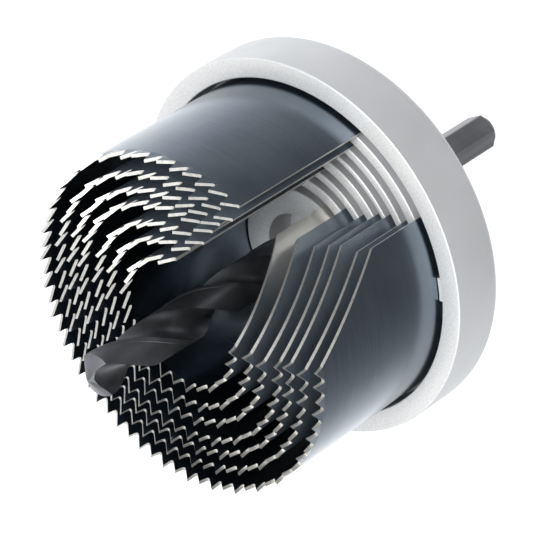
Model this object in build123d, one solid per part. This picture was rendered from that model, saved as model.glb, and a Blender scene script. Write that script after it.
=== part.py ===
# Hole saw: a cast head with seven nested ring blades, a pilot drill and a clamp screw.
# Millimetres. The axis is Z: shank end at z = 0, drill tip at the top.
from build123d import *
from math import cos, sin, radians, degrees, pi
import os

os.makedirs("parts", exist_ok=True)

# Heights along the axis
FACE = 53.0            # front face of the head
GROOVE_FLOOR = 46.5
HEAD_BACK = 41.0
HUB_END = 29.0
BORE_FLOOR = 47.0      # floor of the round recess in the boss
KINK = FACE + 12.0     # where the chip slot starts to slant
GULLET = FACE + 30.0
TOOTH_TIP = FACE + 32.0
DRILL_TIP = 106.0

# Head
HEAD_R = 36.0
HUB_R = 10.0
RECESS_R = 6.6
WEB_TOP = FACE - 0.4
CLEAR_IN = 0.8         # groove wall inside the outer face of a blade
CLEAR_OUT = 0.7        # groove wall outside it
EDGE = 0.25            # broken edge of the cast ridges

# Blades: outside diameter and the angle of the straight slot edge
BLADES = {25: -30.0, 32: -43.0, 38: -51.5, 45: -54.0, 50: -56.0, 56: -60.0, 63: -60.0}
STRIP = 0.7
SLOT_WIDTH = 32.0      # degrees at the foot of the blade
SLANT = 14.5           # unrolled run of the slanted edge
PITCH = 2.87
SET = 0.32             # the tips lean out and in by turns
RAKE_AT = 0.86         # place of the tip along one pitch
TOOTH_INSET = 0.03     # tooth foot inside the strip's two faces

# Bayonet lugs and tabs
LUG_ANGLES = (-116.0, 4.0, 124.0)
LUG_WIDTH = 4.4
LUG_UNDER = FACE - 1.5
TAB_REACH = 0.5
TAB_LOW = 47.6

# Drill, shank and screw
DRILL_R = 4.0
CORE_R = 1.05
FLUTE_START = 51.0
HELIX_PITCH = 43.0
POINT_RISE = 2.4
HEX_FLATS = 6.35
HEX_CORNER_R = 3.58
HEX_TURN = 15.0        # a flat faces this angle
BORE_FLATS = 6.45
SCREW_ANGLE = 75.0
SCREW_Z = 35.0
SCREW_R = 2.95
SCREW_HOLE_R = 3.0
SCREW_OUT = 9.5


def polar(radius, angle, z):
    return Vector(radius * cos(radians(angle)), radius * sin(radians(angle)), z)


def tube(r_in, r_out, z0, z1):
    outer = Solid.make_cylinder(r_out, z1 - z0, Plane((0, 0, z0)))
    inner = Solid.make_cylinder(r_in, z1 - z0 + 2, Plane((0, 0, z0 - 1)))
    return outer.cut(inner)


def sector_wire(angle_from, angle_to, z, reach):
    steps = 6
    points = [Vector(0, 0, z)]
    for i in range(steps + 1):
        angle = angle_from + (angle_to - angle_from) * i / steps
        points.append(polar(reach, angle, z))
    return Wire.make_polygon(points, close=True)


def sector(angle_from, angle_to, z0, z1, reach=60.0):
    low = sector_wire(angle_from, angle_to, z0, reach)
    return Solid.extrude(Face(low), Vector(0, 0, z1 - z0))


def ring_piece(r_in, r_out, angle_from, angle_to, z0, z1):
    corners = [polar(r_in, angle_from, z0), polar(r_out, angle_from, z0),
               polar(r_out, angle_from, z1), polar(r_in, angle_from, z1)]
    section = Face(Wire.make_polygon(corners, close=True))
    return Solid.revolve(section, angle_to - angle_from, Axis.Z)


def common(first, second):
    found = first.intersect(second)
    pieces = [piece for shape in found for piece in shape.solids()]
    return max(pieces, key=lambda piece: piece.volume)


def hexagon(flats, z0, z1):
    corner = flats / 2 / cos(radians(30))
    points = [polar(corner, HEX_TURN + 30 + 60 * i, z0) for i in range(6)]
    return Solid.extrude(Face(Wire.make_polygon(points, close=True)), Vector(0, 0, z1 - z0))


# Head profile, half section in the XZ plane, turned about the axis
def head_profile():
    points = [(0.0, HUB_END), (HUB_R - 0.8, HUB_END), (HUB_R, HUB_END + 0.8)]
    points += [(HUB_R, HEAD_BACK - 1.2), (HUB_R + 0.4, HEAD_BACK - 0.3), (HUB_R + 1.2, HEAD_BACK)]
    back_round = 3.0
    for i in range(7):
        turn = radians(15 * i)
        x = HEAD_R - back_round + back_round * sin(turn)
        z = HEAD_BACK + back_round - back_round * cos(turn)
        points.append((x, z))
    points += [(HEAD_R, FACE - 0.5), (HEAD_R - 0.5, FACE)]
    for diameter in sorted(BLADES, reverse=True):
        wall_out = diameter / 2 + CLEAR_OUT
        wall_in = diameter / 2 - CLEAR_IN
        points += [(wall_out + EDGE, FACE), (wall_out, FACE - EDGE), (wall_out, GROOVE_FLOOR)]
        points += [(wall_in, GROOVE_FLOOR), (wall_in, FACE - EDGE), (wall_in - EDGE, FACE)]
    points += [(RECESS_R, FACE), (RECESS_R, BORE_FLOOR), (0.0, BORE_FLOOR)]
    wire = Wire.make_polygon([Vector(x, 0, z) for x, z in points], close=True)
    return Face(wire)


def head():
    body = Solid.revolve(head_profile(), 360, Axis.Z)
    for diameter in BLADES:
        radius = diameter / 2
        half = degrees(LUG_WIDTH / 2 / radius)
        for angle in LUG_ANGLES:
            lug = ring_piece(radius + 0.1, radius + CLEAR_OUT + 0.1, angle - half, angle + half,
                             LUG_UNDER, FACE - EDGE)
            body = body.fuse(lug)
    web = ring_piece(4.3, RECESS_R + 0.1, -84.0, -24.0, BORE_FLOOR - 0.1, WEB_TOP)
    body = body.fuse(web)
    body = body.cut(hexagon(BORE_FLATS, HUB_END - 1, BORE_FLOOR + 1))
    hole = Solid.make_cylinder(SCREW_HOLE_R, 12, Plane((0, 0, SCREW_Z), z_dir=polar(1, SCREW_ANGLE, 0)))
    return body.cut(hole)


# One tooth: a wedge on the flat top of the ring, its tip leaning in or out
def tooth(radius, angle, width, lean):
    half = width / 2
    r_in = radius - STRIP + TOOTH_INSET
    r_out = radius * cos(width / 2 / radius) - TOOTH_INSET
    tip_at = -half + RAKE_AT * width
    radial = polar(1, angle, 0)
    tangent = polar(1, angle + 90, 0)

    def at(u, v, z):
        return radial * v + tangent * u + Vector(0, 0, z)

    a_in = at(-half, r_in, GULLET)
    a_out = at(-half, r_out, GULLET)
    b_in = at(half, r_in, GULLET)
    b_out = at(half, r_out, GULLET)
    t_in = at(tip_at, r_in + lean, TOOTH_TIP)
    t_out = at(tip_at, r_out + lean, TOOTH_TIP)
    sides = [
        [a_in, b_in, b_out, a_out],
        [a_in, a_out, t_out, t_in],
        [b_in, t_in, t_out, b_out],
        [a_in, t_in, b_in],
        [a_out, b_out, t_out],
    ]
    faces = [Face(Wire.make_polygon(points, close=True)) for points in sides]
    return Solid(Shell(faces))


def slot_top(edge_angle, radius):
    steps = 8
    foot = edge_angle - SLOT_WIDTH
    turn = degrees(SLANT / radius)
    wires = []
    for i in range(steps + 1):
        z = KINK + (TOOTH_TIP - KINK) * i / steps
        wires.append(sector_wire(foot - turn * i / steps, edge_angle, z, radius + 12))
    return Solid.make_loft(wires, ruled=True)


def blade(diameter):
    radius = diameter / 2
    edge_angle = BLADES[diameter]
    body = tube(radius - STRIP, radius, GROOVE_FLOOR, GULLET)
    body = body.cut(sector(edge_angle - SLOT_WIDTH, edge_angle, GROOVE_FLOOR - 1, KINK))
    body = body.cut(slot_top(edge_angle, radius))
    run = degrees(SLANT / radius) * (GULLET - KINK) / (TOOTH_TIP - KINK)
    last = 360 + edge_angle - SLOT_WIDTH - run
    arc = last - edge_angle
    count = int(radians(arc) * radius / PITCH)
    step = arc / count
    width = radians(step) * radius * 0.97
    teeth = []
    for i in range(count):
        lean = SET if i % 2 else -SET
        teeth.append(tooth(radius, edge_angle + step * (i + 0.5), width, lean))
    body = body.fuse(*teeth)
    half = degrees(LUG_WIDTH / 2 / radius)
    for angle in LUG_ANGLES:
        tab = ring_piece(radius - 0.1, radius + TAB_REACH, angle - 3 * half, angle, TAB_LOW, LUG_UNDER - 0.1)
        body = body.fuse(tab)
    return body


# Cross section of the fluted part: two lands and two round flutes
def flute_section(z):
    edges = []
    land = 84.0
    for turn in (0.0, 180.0):
        start = polar(DRILL_R, turn, z)
        middle = polar(DRILL_R, turn + land / 2, z)
        end = polar(DRILL_R, turn + land, z)
        deep = polar(CORE_R, turn + 122.0, z)
        after = polar(DRILL_R, turn + 180.0, z)
        edges.append(Edge.make_three_point_arc(start, middle, end))
        edges.append(Edge.make_three_point_arc(end, deep, after))
    return Face(Wire(edges))


def pilot_drill():
    length = DRILL_TIP - FLUTE_START
    twist = 360.0 * length / HELIX_PITCH
    fluted = Solid.extrude_linear_with_rotation(
        flute_section(FLUTE_START), Vector(0, 0, FLUTE_START), Vector(0, 0, length), twist)
    point = Solid.make_cone(DRILL_R + 0.2, 0.0, POINT_RISE + 0.12, Plane((0, 0, DRILL_TIP - POINT_RISE - 0.12)))
    below = Solid.make_cylinder(DRILL_R + 0.2, DRILL_TIP - POINT_RISE - 0.12 - FLUTE_START + 1,
                                Plane((0, 0, FLUTE_START - 1)))
    fluted = common(fluted, below.fuse(point))
    collar = Solid.make_cylinder(DRILL_R, FLUTE_START - BORE_FLOOR, Plane((0, 0, BORE_FLOOR)))
    shank = hexagon(HEX_FLATS, 0, BORE_FLOOR)
    rounder = Solid.make_cylinder(HEX_CORNER_R, BORE_FLOOR - 0.7, Plane((0, 0, 0.7)))
    end = Solid.make_cone(HEX_CORNER_R - 0.6, HEX_CORNER_R, 0.7)
    shank = common(shank, rounder.fuse(end))
    return fluted.fuse(collar).fuse(shank)


def clamp_screw():
    reach = HEX_FLATS / 2
    frame = Plane(polar(reach, SCREW_ANGLE, SCREW_Z), z_dir=polar(1, SCREW_ANGLE, 0))
    length = SCREW_OUT - reach
    chamfer = 0.5
    body = Solid.make_cylinder(SCREW_R, length - 2 * chamfer, Plane(frame.origin + frame.z_dir * chamfer,
                               z_dir=frame.z_dir))
    foot = Solid.make_cone(SCREW_R - chamfer, SCREW_R, chamfer, frame)
    top = Solid.make_cone(SCREW_R, SCREW_R - chamfer, chamfer,
                          Plane(frame.origin + frame.z_dir * (length - chamfer), z_dir=frame.z_dir))
    body = body.fuse(foot).fuse(top)
    socket_plane = Plane(frame.origin + frame.z_dir * (length - 3.0), z_dir=frame.z_dir)
    corner = 1.5 / cos(radians(30))
    points = [socket_plane.from_local_coords(Vector(corner * cos(radians(60 * i)),
              corner * sin(radians(60 * i)), 0)) for i in range(6)]
    socket = Solid.extrude(Face(Wire.make_polygon(points, close=True)), frame.z_dir * 4.0)
    return body.cut(socket)


def save(shape, name):
    solids = shape.solids() if hasattr(shape, "solids") else [shape]
    print(name, "solids", len(solids), "valid", shape.is_valid, "volume", round(shape.volume, 1))
    if len(solids) == 1:
        shape = solids[0]
    export_step(shape, "parts/" + name + ".step")


save(head(), "holder_head")
for size in BLADES:
    save(blade(size), "saw_blade_" + str(size))
save(pilot_drill(), "pilot_drill")
save(clamp_screw(), "clamp_screw")
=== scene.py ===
# Hole saw, looks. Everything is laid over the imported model, in its frame, in metres.
from math import atan2, cos, pi, radians, sin, sqrt

import bmesh
import bpy
from mathutils import Matrix, Vector


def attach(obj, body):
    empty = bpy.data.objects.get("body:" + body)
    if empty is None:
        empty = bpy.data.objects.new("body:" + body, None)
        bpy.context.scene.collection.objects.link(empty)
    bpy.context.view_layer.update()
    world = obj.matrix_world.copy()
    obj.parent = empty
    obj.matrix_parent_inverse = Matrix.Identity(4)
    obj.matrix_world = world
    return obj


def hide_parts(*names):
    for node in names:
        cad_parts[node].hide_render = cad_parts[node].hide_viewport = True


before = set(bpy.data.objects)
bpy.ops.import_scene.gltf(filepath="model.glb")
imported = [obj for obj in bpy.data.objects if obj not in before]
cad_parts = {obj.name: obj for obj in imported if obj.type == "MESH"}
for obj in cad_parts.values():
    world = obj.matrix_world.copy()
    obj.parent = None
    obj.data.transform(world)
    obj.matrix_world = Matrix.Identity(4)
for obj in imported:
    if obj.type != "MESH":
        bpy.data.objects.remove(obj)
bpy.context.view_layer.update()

MM = 0.001

# Heights along the axis, in millimetres
FACE = 53.0
GROOVE_FLOOR = 46.5
HEAD_BACK = 41.0
HUB_END = 29.0
BORE_FLOOR = 47.0
KINK = FACE + 12.0
GULLET = FACE + 30.0
TOOTH_TIP = FACE + 32.0
DRILL_TIP = 106.0

# Head
HEAD_R = 36.0
HUB_R = 10.0
HUB_FLAT_R = 9.2        # flat part of the hub's end
HUB_EDGE = 0.6
HUB_FILLET = 1.2        # where the hub meets the head's back
BACK_ROUND = 3.0
FRONT_EDGE = 0.28       # broken front edge of the rim
RECESS_R = 6.6
RECESS_EDGE = 0.15
WEB_R = 4.3             # inner side of the web in the recess
WEB_FROM = -84.0
WEB_TO = -24.0
WEB_ROOT = 0.1
WEB_TOP = FACE - 0.4
CLEAR_IN = 0.8          # groove wall inside the outer face of a blade
CLEAR_OUT = 0.7         # groove wall outside it
EDGE = 0.25             # broken edge of the cast ridges
HEAD_FACETS = 288

# Blades: outside diameter and angle of the straight slot edge
BLADES = {25: -30.0, 32: -43.0, 38: -51.5, 45: -54.0, 50: -56.0, 56: -60.0, 63: -60.0}
STRIP = 0.62
SLOT_WIDTH = 32.0       # degrees at the foot of the blade
SLANT = 14.5            # unrolled run of the slanted edge
PITCH = 2.87
SET = 0.27              # the tips lean out and in by turns
TOOTH_RISE = TOOTH_TIP - GULLET
TOOTH_ROOT = 0.3        # strip below the gullets that is built with the teeth
FACET = 1.2             # degrees between two columns of a strip
LUG_ANGLES = (-116.0, 124.0)
LUG_WIDTH = 4.4
LUG_UNDER = FACE - 1.5
LUG_TOP = FACE - 0.04
LUG_GAP = 0.1           # between a lug and its blade
LUG_ROOT = 0.3          # a lug's foot inside the groove wall
LUG_EDGE = 0.12
TAB_REACH = 0.5
TAB_ROOT = 0.2          # a tab's foot inside the blade's outer face
TAB_LOW = 47.6
TAB_UNDER_LUG = 0.1

# Drill and shank
DRILL_R = 4.0
CORE_R = 1.05
FLUTE_START = 51.0
HELIX_PITCH = 43.0
FLUTE_TURN = 32.0
FLUTE_DEEP_AT = 122.0   # angle of the flute's deepest line
FLUTE_STEP = 0.25       # height between two sections
LAND = 84.0             # degrees of one land, its margin included
MARGIN = 12.0
MARGIN_RAMP = 2.0
MARGIN_DROP = 0.12      # how far the land lies below its margin
POINT_RISE = 2.4
POINT_ZONE = 2.6        # the point has finer sections
POINT_STEP = 0.1
POINT_FLAT = 0.03
COLLAR_EDGE = 0.3
COLLAR_DROP = 0.2
HEX_FLATS = 6.35
HEX_CORNER_R = 3.58
HEX_TURN = -4.0
SHANK_EDGE = 0.6
SHANK_EDGE_HEIGHT = 0.7
SHANK_FACETS = 180
BORE_CLEAR = 0.1
SCREW_ANGLE = 75.0
SCREW_Z = 35.0
SCREW_HOLE_R = 3.0
SCREW_HOLE_DEPTH = 12.0

# Steel and cast colours
BLUED_DARK = (0.13, 0.16, 0.195)
BLUED_LIGHT = (0.18, 0.215, 0.25)
BLUED_STREAK = (0.24, 0.275, 0.31)
BARE_DARK = (0.52, 0.51, 0.48)
BARE_LIGHT = (0.66, 0.65, 0.62)
BARE_SPECK = (0.26, 0.25, 0.23)
# Painted light: a bright colour laid on the low end of the first blade's outer face
FOOT_PAINTED_LIGHT = (0.66, 0.65, 0.61)
CAST_SIDE_DARK = (0.62, 0.628, 0.64)
CAST_SIDE_LIGHT = (0.67, 0.677, 0.69)
CAST_FRONT = (0.86, 0.86, 0.85)
CAST_SPECK = (0.66, 0.66, 0.65)

# Light from all round: a plain level, less from below and in front, more from below and behind
ROOM_LEVEL = 0.95
ROOM_FLOOR = 0.03
LOW_FRONT = (0.0, -0.75, -0.63)
HIGH_FRONT = (0.0, -1.0, 0.25)
LOW_BACK = (0.0, 0.8, -0.6)
AIM = (0, 0, 0.06)

# Camera, from the photograph
LENS = 207.476
CAMERA_PLACE = (0.0725633, -0.4100785, 0.3983965)
CAMERA_RIGHT = (-0.435281, -0.616793, -0.655818)
CAMERA_UP = (0.890026, -0.185101, -0.416644)
CAMERA_BACK = (0.135591, -0.765052, 0.629532)


# Mesh helpers
def polar(radius, angle, z):
    return (radius * cos(radians(angle)) * MM, radius * sin(radians(angle)) * MM, z * MM)


def new_object(name, verts, faces, material, sharp=32.0):
    mesh = bpy.data.meshes.new(name)
    mesh.from_pydata(verts, [], faces)
    mesh.validate()
    work = bmesh.new()
    work.from_mesh(mesh)
    bmesh.ops.recalc_face_normals(work, faces=work.faces)
    work.to_mesh(mesh)
    work.free()
    mesh.shade_smooth()
    mesh.set_sharp_from_angle(angle=radians(sharp))
    mesh.materials.append(material)
    obj = bpy.data.objects.new(name, mesh)
    bpy.context.scene.collection.objects.link(obj)
    return obj


def lathe(profile, segments):
    verts = []
    faces = []
    count = len(profile)
    for j in range(segments):
        angle = 360.0 * j / segments
        for r, z in profile:
            verts.append(polar(max(r, 0.001), angle, z))
    for j in range(segments):
        for i in range(count):
            a = j * count + i
            b = j * count + (i + 1) % count
            c = ((j + 1) % segments) * count + (i + 1) % count
            d = ((j + 1) % segments) * count + i
            faces.append((a, b, c, d))
    return verts, faces


def ring_piece(r_in, r_out, angle_from, angle_to, z0, z1, steps, start):
    verts = []
    faces = []
    for i in range(steps + 1):
        angle = angle_from + (angle_to - angle_from) * i / steps
        corners = ((r_in, z0), (r_out, z0), (r_out, z1), (r_in, z1))
        verts += [polar(r, angle, z) for r, z in corners]
    for i in range(steps):
        for k in range(4):
            a = start + 4 * i + k
            b = start + 4 * i + (k + 1) % 4
            faces.append((a, b, b + 4, a + 4))
    faces.append((start, start + 1, start + 2, start + 3))
    end = start + 4 * steps
    faces.append((end, end + 3, end + 2, end + 1))
    return verts, faces


def bevel(obj, width, segments=2):
    mod = obj.modifiers.new("edges", "BEVEL")
    mod.width = width * MM
    mod.segments = segments
    mod.limit_method = "ANGLE"
    mod.angle_limit = radians(40)
    mod.harden_normals = True


# Material helpers
def new_material(name):
    material = bpy.data.materials.new(name)
    material.use_nodes = True
    tree = material.node_tree
    shader = tree.nodes["Principled BSDF"]
    return material, tree, shader


def node(tree, kind, **values):
    made = tree.nodes.new(kind)
    for key, value in values.items():
        setattr(made, key, value)
    return made


def math(tree, operation, a, b=None, clamp=False):
    made = node(tree, "ShaderNodeMath", operation=operation, use_clamp=clamp)
    for slot, value in enumerate((a, b)):
        if value is None:
            continue
        if isinstance(value, (int, float)):
            made.inputs[slot].default_value = value
        else:
            tree.links.new(value, made.inputs[slot])
    return made.outputs[0]


def ramp(tree, value, low, high, out_low=0.0, out_high=1.0):
    made = node(tree, "ShaderNodeMapRange", interpolation_type="SMOOTHSTEP")
    tree.links.new(value, made.inputs["Value"])
    made.inputs["From Min"].default_value = low
    made.inputs["From Max"].default_value = high
    made.inputs["To Min"].default_value = out_low
    made.inputs["To Max"].default_value = out_high
    return made.outputs["Result"]


def mix_colour(tree, factor, first, second):
    made = node(tree, "ShaderNodeMix", data_type="RGBA")
    tree.links.new(factor, made.inputs["Factor"])
    for index, value in ((6, first), (7, second)):
        if isinstance(value, tuple):
            made.inputs[index].default_value = value + (1.0,)
        else:
            tree.links.new(value, made.inputs[index])
    return made.outputs[2]


def noise(tree, vector, scale, detail=3.0, roughness=0.5):
    made = node(tree, "ShaderNodeTexNoise")
    made.inputs["Scale"].default_value = scale
    made.inputs["Detail"].default_value = detail
    made.inputs["Roughness"].default_value = roughness
    if vector is not None:
        tree.links.new(vector, made.inputs["Vector"])
    return made.outputs["Fac"]


def bump(tree, shader, height, strength, distance):
    made = node(tree, "ShaderNodeBump")
    made.inputs["Strength"].default_value = strength
    made.inputs["Distance"].default_value = distance
    tree.links.new(height, made.inputs["Height"])
    tree.links.new(made.outputs["Normal"], shader.inputs["Normal"])


# Texture coordinates that follow the ring: turn about the axis, height and radius
def ring_coords(tree, around, along):
    geometry = node(tree, "ShaderNodeNewGeometry")
    split = node(tree, "ShaderNodeSeparateXYZ")
    tree.links.new(geometry.outputs["Position"], split.inputs[0])
    turn = math(tree, "ARCTAN2", split.outputs["Y"], split.outputs["X"])
    x_squared = math(tree, "MULTIPLY", split.outputs["X"], split.outputs["X"])
    y_squared = math(tree, "MULTIPLY", split.outputs["Y"], split.outputs["Y"])
    radius = math(tree, "SQRT", math(tree, "ADD", x_squared, y_squared))
    join = node(tree, "ShaderNodeCombineXYZ")
    tree.links.new(math(tree, "MULTIPLY", turn, around), join.inputs["X"])
    tree.links.new(math(tree, "MULTIPLY", split.outputs["Z"], along), join.inputs["Y"])
    tree.links.new(math(tree, "MULTIPLY", radius, along), join.inputs["Z"])
    return join.outputs[0], geometry, split


# How far a face looks away from the radial direction: cut edges and tooth flanks give 1
def cut_mask(tree, geometry, split):
    flat = node(tree, "ShaderNodeCombineXYZ")
    tree.links.new(split.outputs["X"], flat.inputs["X"])
    tree.links.new(split.outputs["Y"], flat.inputs["Y"])
    unit = node(tree, "ShaderNodeVectorMath", operation="NORMALIZE")
    tree.links.new(flat.outputs[0], unit.inputs[0])
    dot = node(tree, "ShaderNodeVectorMath", operation="DOT_PRODUCT")
    tree.links.new(unit.outputs[0], dot.inputs[0])
    tree.links.new(geometry.outputs["True Normal"], dot.inputs[1])
    size = math(tree, "ABSOLUTE", dot.outputs["Value"])
    return ramp(tree, size, 0.45, 0.75, 1.0, 0.0)


# Faces that look away from the axis give 1
def outward(tree, geometry, split):
    flat = node(tree, "ShaderNodeCombineXYZ")
    tree.links.new(split.outputs["X"], flat.inputs["X"])
    tree.links.new(split.outputs["Y"], flat.inputs["Y"])
    dot = node(tree, "ShaderNodeVectorMath", operation="DOT_PRODUCT")
    tree.links.new(flat.outputs[0], dot.inputs[0])
    tree.links.new(geometry.outputs["True Normal"], dot.inputs[1])
    return math(tree, "GREATER_THAN", dot.outputs["Value"], 0.0)


# Blued steel with bare cut edges. soft and dull take gloss from the outer face, foot is painted light laid
# on the low end of the outer face
def blade_material(name, soft=0.0, dull=0.0, foot=None):
    material, tree, shader = new_material(name)
    coords, geometry, split = ring_coords(tree, 0.6, 900.0)
    cut = cut_mask(tree, geometry, split)
    away = outward(tree, geometry, split)
    skin = math(tree, "MULTIPLY", away, math(tree, "SUBTRACT", 1.0, cut))
    lines = noise(tree, coords, 3.0, 4.0, 0.6)
    cloud = noise(tree, geometry.outputs["Position"], 55.0, 3.0)
    blued = mix_colour(tree, ramp(tree, cloud, 0.35, 0.65), BLUED_DARK, BLUED_LIGHT)
    streaked = mix_colour(tree, ramp(tree, lines, 0.3, 0.7, 0.0, 0.25), blued, BLUED_STREAK)
    bare = mix_colour(tree, ramp(tree, cloud, 0.3, 0.7), BARE_DARK, BARE_LIGHT)
    speck = ramp(tree, noise(tree, geometry.outputs["Position"], 1700.0, 3.0, 0.7), 0.45, 0.75, 0.0, 0.6)
    ground = mix_colour(tree, speck, bare, BARE_SPECK)
    # Painted light: the outer face is painted bright near the head, fading out higher up
    if foot:
        low = ramp(tree, split.outputs["Z"], (FACE + 8) * MM, (FACE + 24) * MM, 1.0, 0.0)
        streaked = mix_colour(tree, math(tree, "MULTIPLY", low, away), streaked, foot)
    colour = mix_colour(tree, cut, streaked, ground)
    tree.links.new(colour, shader.inputs["Base Color"])
    matt = math(tree, "ADD", math(tree, "MULTIPLY", skin, soft), math(tree, "MULTIPLY", cut, 0.3))
    tree.links.new(math(tree, "SUBTRACT", 1.0, matt), shader.inputs["Metallic"])
    polish = ramp(tree, lines, 0.2, 0.8, 0.19, 0.25)
    worn = math(tree, "ADD", math(tree, "MULTIPLY", cut, 0.14), math(tree, "MULTIPLY", skin, dull))
    tree.links.new(math(tree, "ADD", polish, worn), shader.inputs["Roughness"])
    bump(tree, shader, lines, 0.06, 0.00001)
    return material


def cast_material():
    material, tree, shader = new_material("cast_aluminium")
    geometry = node(tree, "ShaderNodeNewGeometry")
    split = node(tree, "ShaderNodeSeparateXYZ")
    tree.links.new(geometry.outputs["True Normal"], split.inputs[0])
    front = ramp(tree, split.outputs["Z"], 0.5, 0.9)
    grain = noise(tree, geometry.outputs["Position"], 4200.0, 3.0, 0.65)
    cloud = noise(tree, geometry.outputs["Position"], 70.0, 3.0)
    side = mix_colour(tree, ramp(tree, cloud, 0.3, 0.7), CAST_SIDE_DARK, CAST_SIDE_LIGHT)
    colour = mix_colour(tree, front, side, CAST_FRONT)
    speck = math(tree, "MULTIPLY", ramp(tree, grain, 0.35, 0.7, 0.0, 0.75), front)
    tree.links.new(mix_colour(tree, speck, colour, CAST_SPECK), shader.inputs["Base Color"])
    shader.inputs["Metallic"].default_value = 0.5
    tree.links.new(ramp(tree, grain, 0.3, 0.7, 0.42, 0.55), shader.inputs["Roughness"])
    bump(tree, shader, math(tree, "MULTIPLY", grain, math(tree, "ADD", front, 0.15)), 0.35, 0.00006)
    return material


def oxide_material(name, dark, light, metal):
    material, tree, shader = new_material(name)
    geometry = node(tree, "ShaderNodeNewGeometry")
    cloud = noise(tree, geometry.outputs["Position"], 160.0, 4.0)
    grain = noise(tree, geometry.outputs["Position"], 3000.0, 2.0)
    colour = mix_colour(tree, ramp(tree, cloud, 0.3, 0.7), dark, light)
    tree.links.new(colour, shader.inputs["Base Color"])
    shader.inputs["Metallic"].default_value = metal
    tree.links.new(ramp(tree, cloud, 0.3, 0.7, 0.33, 0.42), shader.inputs["Roughness"])
    bump(tree, shader, grain, 0.08, 0.00002)
    return material


# Head profile with rounded ridge edges
def corner(points, x, z, turn_from, turn_to, radius, steps=3):
    for i in range(steps + 1):
        turn = radians(turn_from + (turn_to - turn_from) * i / steps)
        points.append((x + radius * cos(turn), z + radius * sin(turn)))


def head_profile():
    points = [(0.0, HUB_END), (HUB_FLAT_R, HUB_END)]
    corner(points, HUB_R - HUB_EDGE, HUB_END + HUB_EDGE, -90, 0, HUB_EDGE)
    points.append((HUB_R, HEAD_BACK - HUB_FILLET))
    corner(points, HUB_R + HUB_FILLET, HEAD_BACK - HUB_FILLET, 180, 90, HUB_FILLET, 4)
    corner(points, HEAD_R - BACK_ROUND, HEAD_BACK + BACK_ROUND, -90, 0, BACK_ROUND, 10)
    corner(points, HEAD_R - FRONT_EDGE, FACE - FRONT_EDGE, 0, 90, FRONT_EDGE, 4)
    for diameter in sorted(BLADES, reverse=True):
        wall_out = diameter / 2 + CLEAR_OUT
        wall_in = diameter / 2 - CLEAR_IN
        corner(points, wall_out + EDGE, FACE - EDGE, 90, 180, EDGE)
        points.append((wall_out, GROOVE_FLOOR))
        points.append((wall_in, GROOVE_FLOOR))
        corner(points, wall_in - EDGE, FACE - EDGE, 0, 90, EDGE)
    corner(points, RECESS_R + RECESS_EDGE, FACE - RECESS_EDGE, 90, 180, RECESS_EDGE)
    points += [(RECESS_R, BORE_FLOOR), (0.0, BORE_FLOOR)]
    return points


def cutter(name, verts, faces):
    obj = new_object(name, verts, faces, bpy.data.materials[0])
    obj.hide_render = True
    obj.hide_viewport = True
    return obj


def hex_prism(flats, z0, z1):
    corner_r = flats / 2 / cos(radians(30))
    verts = []
    for z in (z0, z1):
        verts += [polar(corner_r, HEX_TURN + 30 + 60 * i, z) for i in range(6)]
    faces = [tuple(range(6)), tuple(range(11, 5, -1))]
    for i in range(6):
        k = (i + 1) % 6
        faces.append((i, k, k + 6, i + 6))
    return verts, faces


def cut_away(obj, tool):
    mod = obj.modifiers.new("cut", "BOOLEAN")
    mod.operation = "DIFFERENCE"
    mod.solver = "EXACT"
    mod.object = tool
    bpy.context.view_layer.update()
    depsgraph = bpy.context.evaluated_depsgraph_get()
    mesh = bpy.data.meshes.new_from_object(obj.evaluated_get(depsgraph))
    obj.modifiers.clear()
    obj.data = mesh
    bpy.data.objects.remove(tool)


def screw_hole_tool():
    mesh = bpy.data.meshes.new("hole_tool")
    work = bmesh.new()
    radius = SCREW_HOLE_R * MM
    depth = SCREW_HOLE_DEPTH * MM
    bmesh.ops.create_cone(work, cap_ends=True, segments=48, radius1=radius, radius2=radius, depth=depth)
    turn = Matrix.Rotation(radians(SCREW_ANGLE), 4, "Z")
    seat = turn @ Matrix.Translation((depth / 2, 0, SCREW_Z * MM))
    work.transform(seat @ Matrix.Rotation(radians(90), 4, "Y"))
    work.to_mesh(mesh)
    work.free()
    tool = bpy.data.objects.new("hole_tool", mesh)
    bpy.context.scene.collection.objects.link(tool)
    return tool


def build_head(material):
    verts, faces = lathe(head_profile(), HEAD_FACETS)
    head = new_object("head_casting", verts, faces, material)
    verts, faces = hex_prism(HEX_FLATS + BORE_CLEAR, HUB_END - 1, BORE_FLOOR + 1)
    cut_away(head, cutter("bore_tool", verts, faces))
    cut_away(head, screw_hole_tool())
    head.data.shade_smooth()
    head.data.set_sharp_from_angle(angle=radians(32))
    return head


def build_lugs(material):
    verts = []
    faces = []
    for diameter in BLADES:
        radius = diameter / 2
        half = LUG_WIDTH / 2 / radius * 180 / pi
        for angle in LUG_ANGLES:
            more, quads = ring_piece(radius + LUG_GAP, radius + CLEAR_OUT + LUG_ROOT,
                                     angle - half, angle + half, LUG_UNDER, LUG_TOP, 8, len(verts))
            verts += more
            faces += quads
    more, quads = ring_piece(WEB_R, RECESS_R + LUG_ROOT, WEB_FROM, WEB_TO,
                             BORE_FLOOR - WEB_ROOT, WEB_TOP, 12, len(verts))
    lugs = new_object("head_lugs", verts + more, faces + quads, material)
    bevel(lugs, LUG_EDGE)
    return lugs


# Outline of one tooth: place along the pitch and height above the gullet
TOOTH = [(0.0, 0.0), (0.05, 0.01), (0.1, 0.06), (0.16, 0.17), (0.86, 2.0), (0.875, 1.5), (0.89, 1.0),
         (0.91, 0.5), (0.935, 0.2), (0.965, 0.05)]


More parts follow.
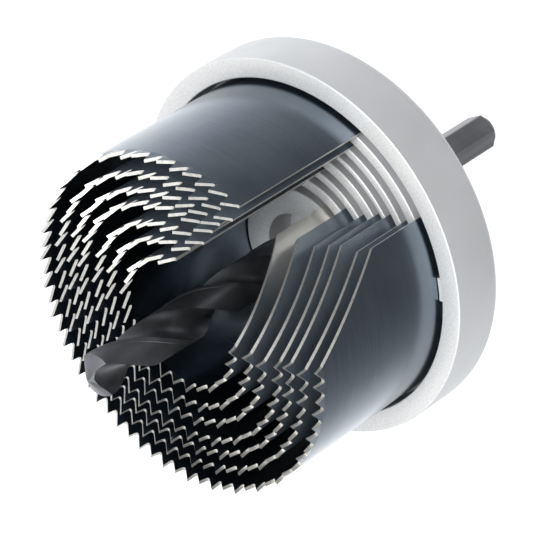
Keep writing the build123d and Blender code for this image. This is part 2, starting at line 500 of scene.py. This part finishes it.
# A bent strip between the head and a top edge, each column given as angle, top and lean of the top
def strip_faces(verts, faces, columns, radius, low, open_sides=()):
    start = len(verts)
    for angle, top, lean in columns:
        for r in (radius, radius - STRIP):
            verts.append(polar(r, angle, low))
            verts.append(polar(r + lean, angle, top))
    for i in range(len(columns) - 1):
        a = start + i * 4
        b = a + 4
        faces += [(a, b, b + 1, a + 1), (a + 2, a + 3, b + 3, b + 2)]
        if "top" not in open_sides:
            faces.append((a + 1, b + 1, b + 3, a + 3))
        if "low" not in open_sides:
            faces.append((a, a + 2, b + 2, b))
    end = start + (len(columns) - 1) * 4
    if "start" not in open_sides:
        faces.append((start, start + 1, start + 3, start + 2))
    if "end" not in open_sides:
        faces.append((end, end + 2, end + 3, end + 1))


def build_blade(diameter, material):
    radius = diameter / 2
    edge_angle = BLADES[diameter]
    run = SLANT / radius * 180 / pi * (GULLET - KINK) / (TOOTH_TIP - KINK)
    foot = 360 + edge_angle - SLOT_WIDTH
    last = foot - run
    count = int(radians(last - edge_angle) * radius / PITCH)
    step = (last - edge_angle) / count
    split = GULLET - TOOTH_ROOT
    verts = []
    faces = []
    body = []
    even = int((last - edge_angle) / FACET)
    for i in range(even + 1):
        body.append((edge_angle + (last - edge_angle) * i / even, split, 0.0))
    strip_faces(verts, faces, body, radius, GROOVE_FLOOR, ("top", "end"))
    slanted = int(run / FACET) + 6
    slope = []
    for i in range(slanted + 1):
        slope.append((last + run * i / slanted, GULLET - (GULLET - KINK) * i / slanted, 0.0))
    strip_faces(verts, faces, slope, radius, GROOVE_FLOOR, ("start",))
    teeth = []
    for i in range(count):
        lean = SET if i % 2 else -SET
        for spot_on, height in TOOTH:
            teeth.append((edge_angle + step * (i + spot_on), GULLET + height, lean * height / TOOTH_RISE))
    teeth.append((last, GULLET, 0.0))
    strip_faces(verts, faces, teeth, radius, split, ("low", "end"))
    half = LUG_WIDTH / 2 / radius * 180 / pi
    for angle in LUG_ANGLES:
        more, quads = ring_piece(radius - TAB_ROOT, radius + TAB_REACH, angle - 3 * half, angle,
                                 TAB_LOW, LUG_UNDER - TAB_UNDER_LUG, 10, len(verts))
        verts += more
        faces += quads
    return new_object("blade_%d_fine" % diameter, verts, faces, material, 28.0)


# Points on the arc through three points, the last one left out
def arc_points(first, middle, last, count):
    ax, ay = first
    bx, by = middle
    cx, cy = last
    d = 2 * (ax * (by - cy) + bx * (cy - ay) + cx * (ay - by))
    a_far = ax * ax + ay * ay
    b_far = bx * bx + by * by
    c_far = cx * cx + cy * cy
    ux = (a_far * (by - cy) + b_far * (cy - ay) + c_far * (ay - by)) / d
    uy = (a_far * (cx - bx) + b_far * (ax - cx) + c_far * (bx - ax)) / d
    radius = sqrt((ax - ux) ** 2 + (ay - uy) ** 2)
    start = atan2(ay - uy, ax - ux)
    mid = atan2(by - uy, bx - ux)
    stop = atan2(cy - uy, cx - ux)
    while mid < start:
        mid += 2 * pi
    while stop < start:
        stop += 2 * pi
    if mid > stop:
        stop -= 2 * pi
    turns = [start + (stop - start) * i / count for i in range(count)]
    return [(ux + radius * cos(t), uy + radius * sin(t)) for t in turns]


def spot(radius, angle):
    return (radius * cos(radians(angle)), radius * sin(radians(angle)))


def flute_section():
    points = []
    for turn in (0.0, 180.0):
        low = DRILL_R - MARGIN_DROP
        for i in range(26):
            points.append(spot(low, turn + FLUTE_TURN + (LAND - MARGIN - MARGIN_RAMP) * i / 25))
        for i in range(6):
            points.append(spot(DRILL_R, turn + FLUTE_TURN + LAND - MARGIN + MARGIN * i / 5))
        first = spot(DRILL_R, turn + FLUTE_TURN + LAND)
        deep = spot(CORE_R, turn + FLUTE_TURN + FLUTE_DEEP_AT)
        last = spot(low, turn + FLUTE_TURN + 180.0)
        points += arc_points(first, deep, last, 44)[1:]
    return points


def build_flutes(material):
    section = flute_section()
    count = len(section)
    fine = DRILL_TIP - POINT_ZONE
    levels = [FLUTE_START + FLUTE_STEP * i for i in range(int((fine - FLUTE_START) / FLUTE_STEP))]
    levels += [fine + POINT_STEP * i for i in range(round(POINT_ZONE / POINT_STEP))]
    levels.append(DRILL_TIP - POINT_FLAT)
    verts = []
    faces = []
    for z in levels:
        turn = 360.0 * (z - FLUTE_START) / HELIX_PITCH
        limit = max((DRILL_TIP - z) * DRILL_R / POINT_RISE, 0.02)
        for x, y in section:
            r = min(sqrt(x * x + y * y), limit)
            angle = atan2(y, x) * 180 / pi + turn
            verts.append(polar(r, angle, z))
    for i in range(len(levels) - 1):
        for k in range(count):
            a = i * count + k
            b = i * count + (k + 1) % count
            faces.append((a, b, b + count, a + count))
    top = (len(levels) - 1) * count
    faces.append(tuple(range(count - 1, -1, -1)))
    faces.append(tuple(range(top, top + count)))
    return new_object("drill_flutes", verts, faces, material, 30.0)


# Hexagonal shank with a round collar where it meets the flutes
def build_shank(material):
    rings = [(0.0, SHANK_EDGE), (SHANK_EDGE_HEIGHT, 0.0), (BORE_FLOOR, 0.0)]
    verts = []
    faces = []
    steps = SHANK_FACETS
    for z, inset in rings:
        for k in range(steps):
            angle = 360.0 * k / steps
            near = (angle - HEX_TURN + 30) % 60 - 30
            r = min(HEX_FLATS / 2 / cos(radians(near)), HEX_CORNER_R - inset)
            verts.append(polar(r, angle, z))
    for z in (BORE_FLOOR, FLUTE_START - COLLAR_EDGE, FLUTE_START):
        r = DRILL_R if z < FLUTE_START else DRILL_R - COLLAR_DROP
        verts += [polar(r, 360.0 * k / steps, z) for k in range(steps)]
    for i in range(5):
        for k in range(steps):
            a = i * steps + k
            b = i * steps + (k + 1) % steps
            faces.append((a, b, b + steps, a + steps))
    faces.append(tuple(range(steps - 1, -1, -1)))
    faces.append(tuple(range(5 * steps, 6 * steps)))
    return new_object("drill_shank", verts, faces, material, 18.0)


# Floor that the camera sees as white and that is clear to reflections and from below
def build_stage():
    size = 6.0
    height = -0.05
    corners = [(-size, -size, height), (size, -size, height), (size, size, height), (-size, size, height)]
    material, tree, shader = new_material("floor")
    tree.nodes.remove(shader)
    out = tree.nodes["Material Output"]
    diffuse = node(tree, "ShaderNodeBsdfDiffuse")
    diffuse.inputs["Color"].default_value = (0.86, 0.86, 0.86, 1.0)
    glow = node(tree, "ShaderNodeEmission")
    glow.inputs["Color"].default_value = (1.0, 1.0, 1.0, 1.0)
    path = node(tree, "ShaderNodeLightPath")
    tree.links.new(math(tree, "MULTIPLY", path.outputs["Is Camera Ray"], 0.22), glow.inputs["Strength"])
    both = node(tree, "ShaderNodeAddShader")
    tree.links.new(diffuse.outputs[0], both.inputs[0])
    tree.links.new(glow.outputs[0], both.inputs[1])
    clear = node(tree, "ShaderNodeBsdfTransparent")
    pick = node(tree, "ShaderNodeMixShader")
    side = node(tree, "ShaderNodeNewGeometry")
    hidden = math(tree, "MAXIMUM", path.outputs["Is Glossy Ray"], side.outputs["Backfacing"])
    tree.links.new(hidden, pick.inputs[0])
    tree.links.new(both.outputs[0], pick.inputs[1])
    tree.links.new(clear.outputs[0], pick.inputs[2])
    tree.links.new(pick.outputs[0], out.inputs["Surface"])
    floor = new_object("floor", corners, [(0, 1, 2, 3)], material)


# A soft patch of the room about one direction
def lobe(tree, direction, toward, low, high, strength):
    dot = node(tree, "ShaderNodeVectorMath", operation="DOT_PRODUCT")
    tree.links.new(direction, dot.inputs[0])
    dot.inputs[1].default_value = Vector(toward).normalized()
    return ramp(tree, dot.outputs["Value"], low, high, 0.0, strength)


def build_world():
    world = bpy.data.worlds.new("room")
    bpy.context.scene.world = world
    world.use_nodes = True
    tree = world.node_tree
    background = tree.nodes["Background"]
    coords = node(tree, "ShaderNodeTexCoord")
    direction = coords.outputs["Generated"]
    level = math(tree, "SUBTRACT", ROOM_LEVEL, lobe(tree, direction, LOW_FRONT, -0.1, 0.85, 0.68))
    level = math(tree, "SUBTRACT", level, lobe(tree, direction, HIGH_FRONT, 0.6, 0.98, 0.45))
    level = math(tree, "ADD", level, lobe(tree, direction, LOW_BACK, 0.4, 1.0, 0.6))
    level = math(tree, "MAXIMUM", level, ROOM_FLOOR)
    join = node(tree, "ShaderNodeCombineXYZ")
    tree.links.new(math(tree, "MULTIPLY", level, 0.975), join.inputs["X"])
    tree.links.new(math(tree, "MULTIPLY", level, 0.99), join.inputs["Y"])
    tree.links.new(math(tree, "MULTIPLY", level, 1.01), join.inputs["Z"])
    path = node(tree, "ShaderNodeLightPath")
    seen = mix_colour(tree, path.outputs["Is Camera Ray"], join.outputs[0], (1.0, 1.0, 1.0))
    tree.links.new(seen, background.inputs["Color"])
    background.inputs["Strength"].default_value = 1.0


def lamp(name, spot_at, size, power):
    data = bpy.data.lights.new(name, "AREA")
    data.shape = "DISK"
    data.size = size
    data.energy = power
    obj = bpy.data.objects.new(name, data)
    bpy.context.scene.collection.objects.link(obj)
    obj.location = spot_at
    obj.rotation_euler = (Vector(AIM) - Vector(spot_at)).to_track_quat("-Z", "Y").to_euler()


def build_camera():
    data = bpy.data.cameras.new("camera")
    data.sensor_width = 36.0
    data.lens = LENS
    data.clip_start = 0.01
    obj = bpy.data.objects.new("camera", data)
    bpy.context.scene.collection.objects.link(obj)
    turn = Matrix((CAMERA_RIGHT, CAMERA_UP, CAMERA_BACK)).transposed().to_4x4()
    obj.matrix_world = Matrix.Translation(CAMERA_PLACE) @ turn
    bpy.context.scene.camera = obj


def place(obj, node_name):
    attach(obj, "root")
    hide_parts(node_name)


cast = cast_material()
blued = blade_material("blued_blade")
inner = blade_material("inner_blade", 0.48, 0.08)
# The first blade is the same steel, with painted light on the low end of its outer face
first_with_painted_light = blade_material("first_blade", 0.35, 0.08, FOOT_PAINTED_LIGHT)
oxide = oxide_material("black_oxide", (0.13, 0.134, 0.145), (0.21, 0.215, 0.23), 0.9)
shank_oxide = oxide_material("shank_oxide", (0.17, 0.175, 0.19), (0.21, 0.215, 0.23), 0.55)

place(build_head(cast), "holder_head")
place(build_lugs(cast), "holder_head")
blade_finishes_and_painted_light = {25: first_with_painted_light, 63: blued}
for diameter in BLADES:
    place(build_blade(diameter, blade_finishes_and_painted_light.get(diameter, inner)), "saw_blade_%d" % diameter)
place(build_flutes(oxide), "pilot_drill")
place(build_shank(shank_oxide), "pilot_drill")
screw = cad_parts["clamp_screw"]
screw.data.materials.clear()
screw.data.materials.append(oxide_material("screw_oxide", (0.07, 0.07, 0.075), (0.1, 0.1, 0.106), 0.9))

build_stage()
build_world()
lamp("key", (0.3, -0.5, 1.0), 0.45, 7.5)
lamp("fill", (-0.5, -0.3, 1.0), 0.9, 3.5)
build_camera()
bpy.context.scene.view_settings.view_transform = "Standard"
